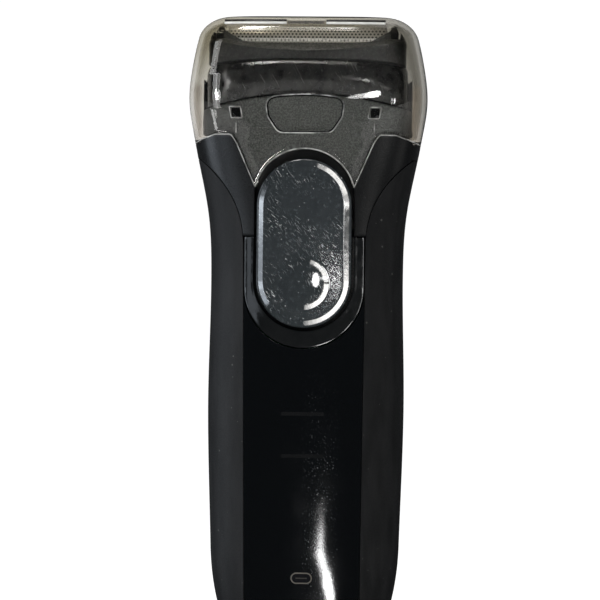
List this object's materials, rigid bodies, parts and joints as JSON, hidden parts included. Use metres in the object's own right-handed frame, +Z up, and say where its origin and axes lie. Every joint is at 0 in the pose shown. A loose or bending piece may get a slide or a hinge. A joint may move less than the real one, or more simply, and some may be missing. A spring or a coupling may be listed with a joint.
{
  "type": "foil shaver",
  "caption": "Cordless foil shaver with a clear lift-off cap, sprung foils in a removable cassette, a sliding power switch, side rubber grips and a pop-up long-hair trimmer.",
  "frame": {"origin": "middle of the bounding box at the level of the base, where the handle stands", "axes": "+Z up the handle towards the foils, -Y out of the front with the switch, +X to the right of someone looking at the front"},
  "size_m": [0.0592, 0.0369, 0.158],
  "materials": {
    "clear_cap": "clear, lightly smoked",
    "textured_black": "fine spark texture",
    "satin_black": "satin",
    "grip_rubber": "matt, soft touch",
    "gloss_black": "polished, lightly scratched",
    "seal_rubber": "matt",
    "contact_brass": "plated",
    "lamp_lens": "smoked lens",
    "bar_ink": "smoked lens",
    "inner_plastic": "moulded",
    "cell_wrap": "shrink wrap",
    "plated_steel": "plated",
    "board_green": "solder mask",
    "chip_black": "moulded",
    "pale_plastic": "moulded",
    "spring_steel": "drawn wire",
    "foil_nickel": "electroformed, fine holes",
    "blade_steel": "ground"
  },
  "bodies": {
    "handle": {"neck": "textured_black", "shoulder_left": "satin_black", "shoulder_right": "satin_black", "grip_left": "grip_rubber", "grip_right": "grip_rubber", "front_panel": "gloss_black", "switch_bezel": "satin_black", "switch_plate": "satin_black", "rear_cover": "satin_black", "base_cap": "satin_black", "inlet_seal": "seal_rubber", "inlet_socket": "satin_black", "inlet_pins": "contact_brass", "charge_light": "lamp_lens", "level_bars": "bar_ink", "chassis": "inner_plastic", "battery_cells": "cell_wrap", "battery_tabs": "plated_steel", "circuit_board": "board_green", "board_parts": "chip_black", "slide_switch": "inner_plastic", "motor_can": "plated_steel", "motor_endcap": "pale_plastic", "motor_screws": "plated_steel", "guide_rods": "plated_steel", "deck": "satin_black", "deck_gasket": "seal_rubber", "deck_screws": "plated_steel", "release_spring_left": "spring_steel", "release_spring_right": "spring_steel"},
    "cassette": {"cassette_band": "gloss_black", "cassette_frame": "satin_black"},
    "cap": {"cap": "clear_cap"},
    "foil_front": {"foil_front": "foil_nickel", "foil_holder_front": "satin_black"},
    "foil_rear": {"foil_rear": "foil_nickel", "foil_holder_rear": "satin_black"},
    "middle": {"middle_comb": "foil_nickel"},
    "cutter_front": {"cutter_front": "blade_steel", "cutter_block_front": "pale_plastic"},
    "cutter_rear": {"cutter_rear": "blade_steel", "cutter_block_rear": "pale_plastic"},
    "middle_blade": {"middle_blade": "blade_steel"},
    "rotor": {"motor_armature": "plated_steel", "motor_shaft": "plated_steel", "eccentric": "pale_plastic"},
    "bridge": {"drive_bridge": "pale_plastic", "pin_spring_front": "spring_steel", "pin_spring_middle": "spring_steel", "pin_spring_rear": "spring_steel"},
    "pin_front": {"drive_pin_front": "plated_steel"},
    "pin_middle": {"drive_pin_middle": "plated_steel"},
    "pin_rear": {"drive_pin_rear": "plated_steel"},
    "slider": {"power_slider": "gloss_black"},
    "release_left": {"release_left": "satin_black"},
    "release_right": {"release_right": "satin_black"},
    "trimmer": {"trimmer_slide": "satin_black", "trimmer_button": "gloss_black", "trimmer_comb": "foil_nickel"},
    "trimmer_blade": {"trimmer_blade": "blade_steel"}
  },
  "joints": [
    {"name": "cassette_lift", "type": "slide", "parent": "handle", "child": "cassette", "axis": [0, 0, 1], "range_m": [0, 0.022]},
    {"name": "cap_lift", "type": "slide", "parent": "cassette", "child": "cap", "axis": [0, 0, 1], "range_m": [0, 0.045]},
    {"name": "foil_front_float", "type": "slide", "parent": "cassette", "child": "foil_front", "axis": [0, 0, 1], "range_m": [-0.0015, 0], "stiffness_N_per_m": 400, "springref_m": 0.001},
    {"name": "foil_rear_float", "type": "slide", "parent": "cassette", "child": "foil_rear", "axis": [0, 0, 1], "range_m": [-0.0015, 0], "stiffness_N_per_m": 400, "springref_m": 0.001},
    {"name": "middle_float", "type": "slide", "parent": "cassette", "child": "middle", "axis": [0, 0, 1], "range_m": [-0.0015, 0], "stiffness_N_per_m": 400, "springref_m": 0.001},
    {"name": "bridge_sway", "type": "slide", "parent": "handle", "child": "bridge", "axis": [1, 0, 0], "range_m": [-0.0012, 0.0012]},
    {"name": "motor_spin", "type": "hinge", "parent": "handle", "child": "rotor", "pos_m": [0, 0, 0.1175], "axis": [0, 0, 1], "range_deg": [-60, 60]},
    {"name": "cutter_front_sway", "type": "slide", "parent": "foil_front", "child": "cutter_front", "axis": [1, 0, 0], "range_m": [-0.0012, 0.0012]},
    {"name": "cutter_rear_sway", "type": "slide", "parent": "foil_rear", "child": "cutter_rear", "axis": [1, 0, 0], "range_m": [-0.0012, 0.0012]},
    {"name": "middle_blade_sway", "type": "slide", "parent": "middle", "child": "middle_blade", "axis": [1, 0, 0], "range_m": [-0.0012, 0.0012]},
    {"name": "pin_front_dip", "type": "slide", "parent": "bridge", "child": "pin_front", "axis": [0, 0, 1], "range_m": [-0.0016, 0.0001], "deforming": ["pin_spring_front"]},
    {"name": "pin_middle_dip", "type": "slide", "parent": "bridge", "child": "pin_middle", "axis": [0, 0, 1], "range_m": [-0.0016, 0.0001], "deforming": ["pin_spring_middle"]},
    {"name": "pin_rear_dip", "type": "slide", "parent": "bridge", "child": "pin_rear", "axis": [0, 0, 1], "range_m": [-0.0016, 0.0001], "deforming": ["pin_spring_rear"]},
    {"name": "power_slide", "type": "slide", "parent": "handle", "child": "slider", "axis": [0, 0, 1], "range_m": [0, 0.002]},
    {"name": "release_left_press", "type": "slide", "parent": "handle", "child": "release_left", "axis": [1, 0, 0], "range_m": [0, 0.0008], "stiffness_N_per_m": 900, "springref_m": -0.001, "deforming": ["release_spring_left"]},
    {"name": "release_right_press", "type": "slide", "parent": "handle", "child": "release_right", "axis": [-1, 0, 0], "range_m": [0, 0.0008], "stiffness_N_per_m": 900, "springref_m": -0.001, "deforming": ["release_spring_right"]},
    {"name": "trimmer_push", "type": "slide", "parent": "handle", "child": "trimmer", "axis": [0, 0, 1], "range_m": [0, 0.009]},
    {"name": "trimmer_blade_sway", "type": "slide", "parent": "trimmer", "child": "trimmer_blade", "axis": [1, 0, 0], "range_m": [-0.0012, 0.0012]}
  ],
  "couplings": [
    {"joint": "bridge_sway", "follows": "motor_spin", "m_per_rad": -0.00113},
    {"joint": "cutter_front_sway", "follows": "motor_spin", "m_per_rad": -0.00113},
    {"joint": "cutter_rear_sway", "follows": "motor_spin", "m_per_rad": -0.00113},
    {"joint": "middle_blade_sway", "follows": "motor_spin", "m_per_rad": -0.00113},
    {"joint": "trimmer_blade_sway", "follows": "motor_spin", "m_per_rad": -0.00113},
    {"joint": "pin_front_dip", "follows": "foil_front_float", "ratio": 1},
    {"joint": "pin_middle_dip", "follows": "middle_float", "ratio": 1},
    {"joint": "pin_rear_dip", "follows": "foil_rear_float", "ratio": 1}
  ]
}
